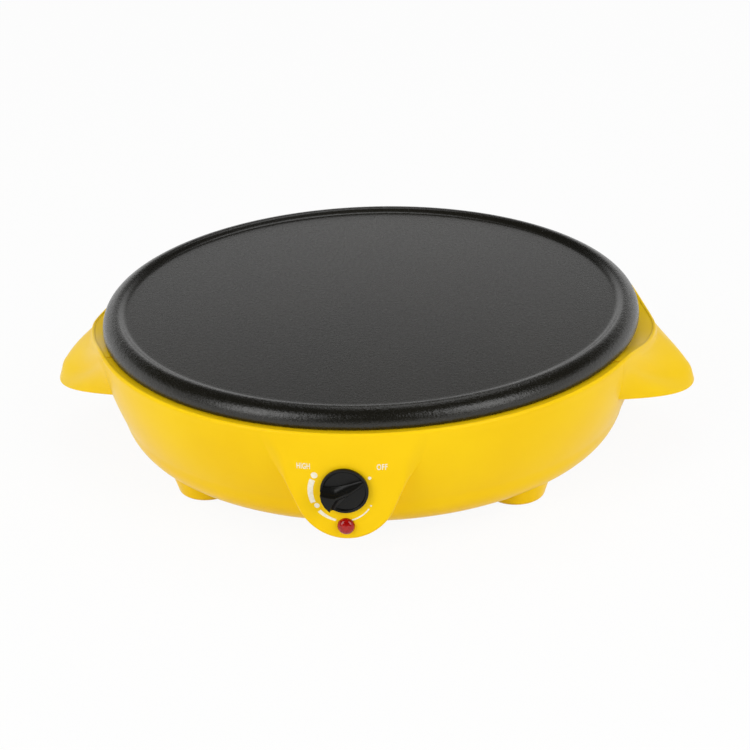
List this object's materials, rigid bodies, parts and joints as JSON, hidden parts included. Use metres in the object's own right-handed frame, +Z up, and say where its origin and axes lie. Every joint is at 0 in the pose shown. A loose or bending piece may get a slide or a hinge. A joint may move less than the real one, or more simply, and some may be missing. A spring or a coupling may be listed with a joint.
{
  "type": "electric crepe maker",
  "caption": "Countertop electric crepe maker: round non-stick griddle plate in a bowl-shaped body with ear handles, a thermostat knob and an indicator lamp.",
  "frame": {"origin": "on the table, under the axis of the griddle plate", "axes": "+Z up along the plate's axis, front with the knob towards -Y, handles along X, +X to the right when seen from the front"},
  "size_m": [0.3692, 0.3283, 0.0815],
  "materials": {
    "nonstick_plate": "satin non-stick coat on cast aluminium",
    "yellow_plastic": "glossy bright yellow moulded plastic",
    "black_plastic": "matt black moulded plastic",
    "steel": "zinc-plated or stainless steel",
    "aluminium": "bright aluminium sheet",
    "brass": "bare brass",
    "ceramic": "unglazed steatite",
    "rubber": "soft dark rubber",
    "red_lens": "clear red moulded lens",
    "neon_glass": "clear glass",
    "brown_wire": "silicone insulation, brown",
    "blue_wire": "silicone insulation, blue",
    "green_wire": "silicone insulation, green",
    "white_wire": "insulation, white"
  },
  "bodies": {
    "housing": {"griddle_plate": "nonstick_plate", "heating_element": "steel", "element_seals": "ceramic", "element_terminals": "steel", "element_clips": "steel", "clip_screws": "steel", "reflector_pan": "aluminium", "plate_screws": "steel", "plate_spacers": "steel", "heat_washers": "ceramic", "body_shell": "yellow_plastic", "bottom_cover": "black_plastic", "cover_screws": "steel", "left_handle": "yellow_plastic", "right_handle": "yellow_plastic", "handle_screws": "steel", "front_left_foot": "rubber", "front_right_foot": "rubber", "rear_left_foot": "rubber", "rear_right_foot": "rubber", "thermostat_bushing": "brass", "bushing_nut": "steel", "thermostat_bracket": "steel", "bracket_screws": "steel", "thermostat_frame": "steel", "thermostat_insulators": "ceramic", "contact_blades": "brass", "contact_buttons": "steel", "bimetal_strip": "steel", "stack_rivet": "steel", "lamp_lens": "red_lens", "lamp_ring": "steel", "neon_lamp": "neon_glass", "lamp_resistor": "ceramic", "terminal_block": "ceramic", "terminal_screws": "brass", "block_screws": "steel", "cord_gland": "black_plastic", "gland_nut": "black_plastic", "thermal_fuse": "ceramic", "fuse_clip": "steel", "earth_screw": "steel", "earth_lug": "brass", "push_on_connectors": "brass", "live_wire": "brown_wire", "fuse_wire": "brown_wire", "element_wire": "brown_wire", "neutral_wire": "blue_wire", "earth_wire": "green_wire", "lamp_wires": "white_wire"},
    "control_knob": {"knob": "black_plastic", "knob_clip": "steel", "thermostat_shaft": "steel"}
  },
  "joints": [
    {"name": "knob_turn", "type": "hinge", "parent": "housing", "child": "control_knob", "pos_m": [0, -0.157, 0.0402], "axis": [0, 1, 0], "range_deg": [0, 240]}
  ]
}
